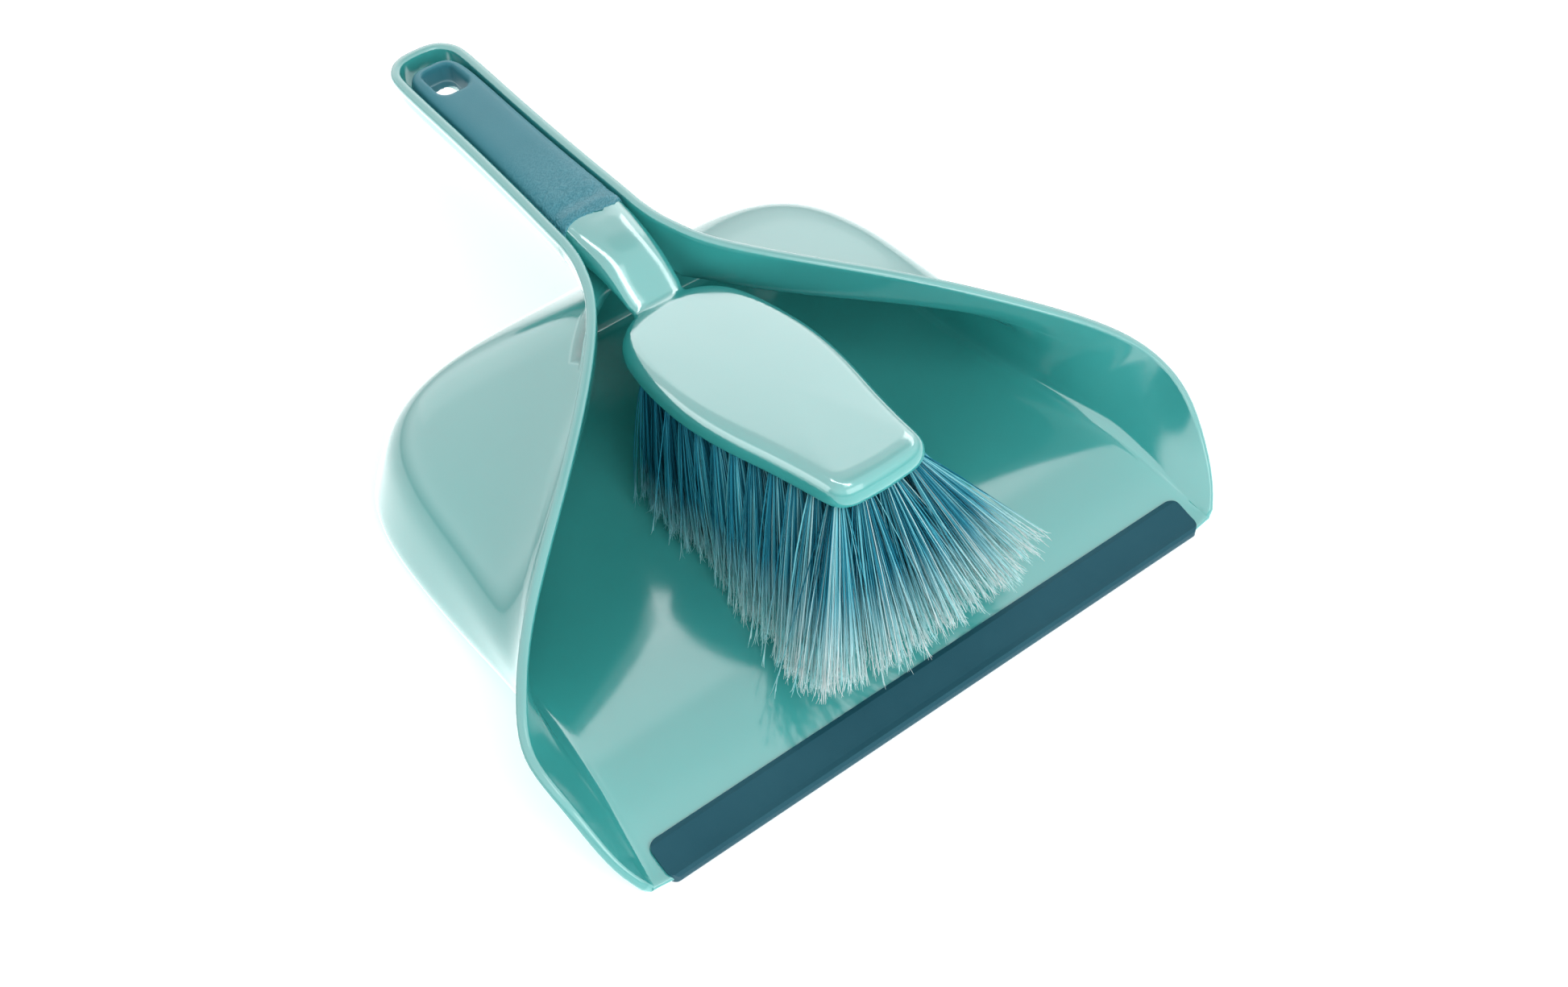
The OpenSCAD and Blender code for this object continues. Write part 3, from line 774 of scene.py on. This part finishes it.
def engraving_seeds():
    """Middles of the ridge clusters, 3.4 mm or more apart, with a turn and a number of ridges."""
    rng = np.random.default_rng(11)
    seeds = []
    tries = 0
    while len(seeds) < 190 and tries < 12000:
        tries += 1
        p = rng.uniform([-20, GRIP_Y0 - 4], [20, GRIP_Y0 + 66])
        if all((p[0] - s[0]) ** 2 + (p[1] - s[1]) ** 2 > 3.4 ** 2 for s in seeds):
            seeds.append((p[0], p[1], rng.uniform(0, 6.28), rng.integers(11, 16)))
    return np.array(seeds)


def engrave(ob):
    """Clusters of short radiating ridges near the neck end, fading out towards the hang hole."""
    seeds = engraving_seeds()
    me = ob.data
    n = len(me.vertices)
    co = np.zeros(n * 3)
    me.vertices.foreach_get("co", co)
    co = co.reshape(-1, 3)
    nor = np.array([v.normal[:] for v in me.vertices])
    x, y, z = co[:, 0] / MM, co[:, 1] / MM + PAN_LEN / 2, co[:, 2] / MM
    arc = x + np.sign(x) * np.clip(74 - z, 0, 9) * 0.9      # goes on down the grip's sides
    crest_highlight = np.zeros(n)
    pick = np.where((nor[:, 2] > -0.55) & (y < GRIP_Y0 + 64) & (z > 65))[0]
    px, py = arc[pick], y[pick]
    wx = px + 0.5 * np.sin(py * 1.7) + 0.35 * np.sin(px * 2.3 + py)
    wy = py + 0.5 * np.sin(px * 1.9)
    batch = 20000
    for lo in range(0, len(pick), batch):
        sl = slice(lo, lo + batch)
        dx, dy = wx[sl, None] - seeds[None, :, 0], wy[sl, None] - seeds[None, :, 1]
        d2 = dx * dx + dy * dy
        k = d2.argmin(1)
        own = np.arange(len(k))
        r = np.sqrt(d2[own, k])
        ang = np.arctan2(dy[own, k], dx[own, k])
        spoke = 0.5 + 0.5 * np.cos(seeds[k, 3] * ang + seeds[k, 2] + 1.1 * np.sin(r * 1.9))
        crest_highlight[pick[sl]] = np.clip(spoke * 1.5 - 0.2, 0, 1) * np.clip((r - 0.25) / 0.5, 0, 1)
    fade = np.clip((GRIP_Y0 + 46 - y) / 38, 0, 1) ** 0.8
    edge = np.clip((nor[:, 2] + 0.5) / 0.4, 0, 1) * np.clip((z - 65) / 3, 0, 1)
    crest_highlight *= fade * edge
    depth = 0.22
    moved = co + nor * ((crest_highlight - 0.35 * fade * edge) * depth * MM)[:, None]
    me.vertices.foreach_set("co", moved.reshape(-1))
    # the crest mask also paints a highlight on the ridges, through the grip's material
    at = me.attributes.new("crest_highlight", "FLOAT", "POINT")
    at.data.foreach_set("value", np.clip(crest_highlight, 0, 1).astype(np.float32))
    me.update()


engrave(grip)
grip.name = "grip_visual"
coat(grip, GRIP)
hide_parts("brush_grip")
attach(grip, "brush")

# -------------------- bristles, filament by filament
THIRD_TURN = 2.0944
HAIR_THIN, HAIR_THICK = 0.15, 0.25      # radius of a filament
SPLITS = 3                              # flagged ends of a filament
PER_TUFT = 120


def tuft_frame(side, fore):
    """The tuft's direction and two directions across it."""
    f, s = math.radians(fore), math.radians(side)
    d = np.array([math.cos(f) * math.sin(s), -math.sin(f), -math.cos(f) * math.cos(s)])
    u = unit(np.cross(d, [0, 1, 0]))
    return d, u, np.cross(d, u)


def filament_row(index, seed):
    rng = np.random.default_rng(seed)
    verts, faces, tone, along = [], [], [], []
    # painted shade: the rows near the handle are darker, with less pale tips
    heel_shade = (index / (ROWS - 1)) ** 1.6

    def hair(path, radii, t, lo, hi):
        """A closed three-sided tube; lo and hi say where along the filament it starts and ends."""
        base = len(verts)
        n = len(path)
        d = unit(path[-1] - path[0])
        u = unit(np.cross(d, [0.3, 0.9, 0.31]))
        w = np.cross(d, u)
        spin = rng.uniform(0, 2.1)
        for k in range(n):
            for a in range(3):
                q = spin + a * THIRD_TURN
                verts.append(path[k] + (u * math.cos(q) + w * math.sin(q)) * radii[k])
                # painted shade on the rows near the handle: lower tone and less paling at the tips
                tone.append(t * (1 - 0.6 * heel_shade))
                along.append(mix(lo, hi, k / (n - 1)) * (1 - 0.24 * heel_shade))
        for k in range(n - 1):
            at = base + k * 3
            for a in range(3):
                b = (a + 1) % 3
                faces.append((at + a, at + b, at + 3 + b, at + 3 + a))
        faces.append((base + 2, base + 1, base))
        faces.append((base + n * 3 - 3, base + n * 3 - 2, base + n * 3 - 1))

    for i, x, s, side, fore, length in tufts():
        if i != index:
            continue
        d, u, w = tuft_frame(side, fore)
        root = np.array([x, s, -BLOCK_T])
        wide = mix(TIP_WIDE, TIP_R + 1.6, min(i / 4, 1))
        for _ in range(PER_TUFT):
            # from a place in the tuft's hole to a place in its wider tip
            q, rr = rng.uniform(0, 2 * math.pi), math.sqrt(rng.uniform(0, 1))
            off = (u * math.cos(q) + w * math.sin(q)) * rr
            a = root + off * (TUFT_R - 0.35) + d * -3.0
            spread = rng.normal(1.0, 0.16) * (u * (off @ u) * wide + w * (off @ w) * (TIP_R + 2.2))
            ln = length * (1 + rng.normal(0, 0.016)) + rng.normal(0, 0.5)
            tip = root + spread + unit(d + spread / length * 0.2) * ln + rng.normal(0, 0.6, 3)
            if rng.uniform() < 0.03:                    # a stray one
                tip += rng.normal(0, 3.4, 3) * [1, 1, 0.3]
            sag = rng.normal(0, 0.6, 3) + off * 0.5
            ts = np.linspace(0, 1, 6)[:, None]
            path = mix(a, tip, ts) + sag * (4 * ts * (1 - ts))
            t = float(np.clip(rng.beta(1.2, 1.25), 0, 1))
            r = rng.uniform(HAIR_THIN, HAIR_THICK)
            hair(from_block(path), np.array([r, r, r, r, r * 0.95, r * 0.75]), t, 0, 0.93)
            end, heading = path[-1], unit(path[-1] - path[-2])
            for _k in range(SPLITS):
                split = unit(heading + rng.normal(0, 0.2, 3))
                reach = rng.uniform(2.0, 5.4)
                curl = rng.normal(0, 0.3, 3)
                st = np.array([end - heading * rng.uniform(1, 7),
                               end + split * reach * 0.5 + curl * 0.4, end + split * reach + curl])
                thinner = np.array([r * 0.6, r * 0.5, r * 0.25])
                hair(from_block(st), thinner, min(1, t + 0.25), 0.88, 1.0)
    ob = new_object(f"bristles_{index + 1:02d}", put(np.array(verts)), faces)
    for key, val in (("tone", tone), ("along", along)):
        at = ob.data.attributes.new(key, "FLOAT", "POINT")
        at.data.foreach_set("value", np.array(val, np.float32))
    ob.data.materials.append(HAIR)
    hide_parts(f"tuft_row_{index + 1:02d}")
    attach(ob, "brush")


for row in range(ROWS):
    filament_row(row, 100 + row)

# -------------------- stage, light and camera, in metres
FLOOR_HALF, FLOOR_DROP = 6, 0.0004      # half the floor's side, and how far it lies under the pan
LOOK_AT = Vector((0, 0, 0.03))          # what the lights point at

bm = bmesh.new()
bmesh.ops.create_grid(bm, x_segments=8, y_segments=8, size=FLOOR_HALF)
floor_me = bpy.data.meshes.new("floor")
bm.to_mesh(floor_me)
bm.free()
floor = bpy.data.objects.new("floor", floor_me)
bpy.context.scene.collection.objects.link(floor)
floor.location.z = -FLOOR_DROP
ground = Nodes("pale_floor")
ground.link(ground.ramp(ground.noise(3, 2), [(0.3, (0.86, 0.86, 0.86)), (0.7, (0.87, 0.87, 0.87))]),
            ground.b.inputs["Base Color"])
ground.b.inputs["Roughness"].default_value = 0.9
ground.b.inputs["Emission Color"].default_value = (1, 1, 1, 1)
# the floor glows, more in the gloss of the plastic
glance = ground.add("ShaderNodeLightPath").outputs["Is Glossy Ray"]
ground.link(ground.math("ADD", ground.math("MULTIPLY", glance, 1.5), 0.6),
            ground.b.inputs["Emission Strength"])
floor.data.materials.append(ground.mat)


def soft_box(name, toward, distance, size, power):
    light = bpy.data.lights.new(name, "AREA")
    light.shape, light.size, light.size_y = "RECTANGLE", size[0], size[1]
    light.energy = power
    ob = bpy.data.objects.new(name, light)
    bpy.context.scene.collection.objects.link(ob)
    d = Vector(toward).normalized()
    ob.location = LOOK_AT + d * distance
    ob.rotation_mode = "QUATERNION"
    ob.rotation_quaternion = (-d).to_track_quat("-Z", "Y")
    return ob


def collection_of(name, pieces):
    group = bpy.data.collections.new(name)
    for piece in pieces:
        group.objects.link(piece)
    return group


def reflector(name, toward, distance, size, power, pieces, blockers=()):
    """A soft box seen only in the gloss of some pieces. With blockers, only those stand in its way."""
    ob = soft_box(name, toward, distance, size, power)
    ob.visible_diffuse = False
    ob.light_linking.receiver_collection = collection_of(name + "_receivers", pieces)
    if blockers:
        ob.light_linking.blocker_collection = collection_of(name + "_blockers", blockers)


reflector("back_brush", (0.46, 0.70, 0.46), 1.8, (2.6, 0.85), 13, (body, grip))
reflector("back_pan", (0.46, 0.70, 0.46), 1.8, (2.6, 0.85), 4, (pan,))
reflector("strip_left", (-0.21, -0.07, 0.98), 1.5, (2.0, 0.26), 24, (body,))
reflector("strip_right", (0.71, 0.13, 0.69), 1.5, (1.4, 0.26), 9, (body,))
reflector("side_brush", (-0.83, 0.51, 0.10), 1.5, (1.3, 1.1), 20, (body,), (body,))
soft_box("key", (-0.1, -0.5, 0.95), 1.7, (0.7, 0.7), 5)
soft_box("fill_front", (-0.05, -0.92, 0.42), 1.7, (1.1, 0.8), 10)

world = bpy.data.worlds.new("studio")
world.use_nodes = True
wt = world.node_tree
bg = wt.nodes["Background"]
bg.inputs["Color"].default_value = (1, 1, 1, 1)


def world_node(kind, **inputs):
    n = wt.nodes.new(kind)
    for key, v in inputs.items():
        slot = n.inputs[key.replace("_", " ")]
        if isinstance(v, bpy.types.NodeSocket):
            wt.links.new(v, slot)
        else:
            slot.default_value = v
    return n


# even light all round; the gloss sees a bright tent instead, with one darker opening high at the
# back, that fades towards the horizon
EVEN_LIGHT, TENT, OPENING, HORIZON = 0.36, 4.6, 3.6, 1.6
where = world_node("ShaderNodeTexCoord").outputs["Generated"]
aim = wt.nodes.new("ShaderNodeVectorMath")
aim.operation = "DOT_PRODUCT"
wt.links.new(where, aim.inputs[0])
aim.inputs[1].default_value = Vector((0.41, 0.16, 0.90)).normalized()
tent = world_node("ShaderNodeMapRange", Value=aim.outputs["Value"], From_Min=0.94, From_Max=0.985,
                  To_Min=TENT, To_Max=OPENING)
tent.interpolation_type = "SMOOTHSTEP"
height = world_node("ShaderNodeSeparateXYZ", Vector=where).outputs["Z"]
rise = world_node("ShaderNodeMapRange", Value=height, From_Min=0.0, From_Max=0.38,
                  To_Min=HORIZON, To_Max=tent.outputs["Result"])
glossy = world_node("ShaderNodeLightPath").outputs["Is Glossy Ray"]
level = world_node("ShaderNodeMapRange", Value=glossy, To_Min=EVEN_LIGHT, To_Max=rise.outputs["Result"])
wt.links.new(level.outputs["Result"], bg.inputs["Strength"])
bpy.context.scene.world = world
bpy.context.scene.view_settings.view_transform = "Standard"

# the photograph's camera: turn and height in degrees, place in metres, focal length in pixels
CAM_TURN, CAM_RISE, CAM_AT = -38.59, 49.01, (-0.34732, -0.50261, 0.66498)
IMAGE_WIDTH, FOCAL_PX, SENSOR = 1946, 3000, 36
cam = bpy.data.cameras.new("camera")
cam_ob = bpy.data.objects.new("camera", cam)
bpy.context.scene.collection.objects.link(cam_ob)
az, el = math.radians(CAM_TURN), math.radians(CAM_RISE)
back = Vector((math.sin(az) * math.cos(el), -math.cos(az) * math.cos(el), math.sin(el)))
cam_ob.location = CAM_AT
cam_ob.rotation_mode = "QUATERNION"
cam_ob.rotation_quaternion = (-back).to_track_quat("-Z", "Y")
cam.sensor_width, cam.lens = SENSOR, FOCAL_PX / IMAGE_WIDTH * SENSOR
cam.clip_start, cam.clip_end = 0.01, 50
bpy.context.scene.camera = cam_ob
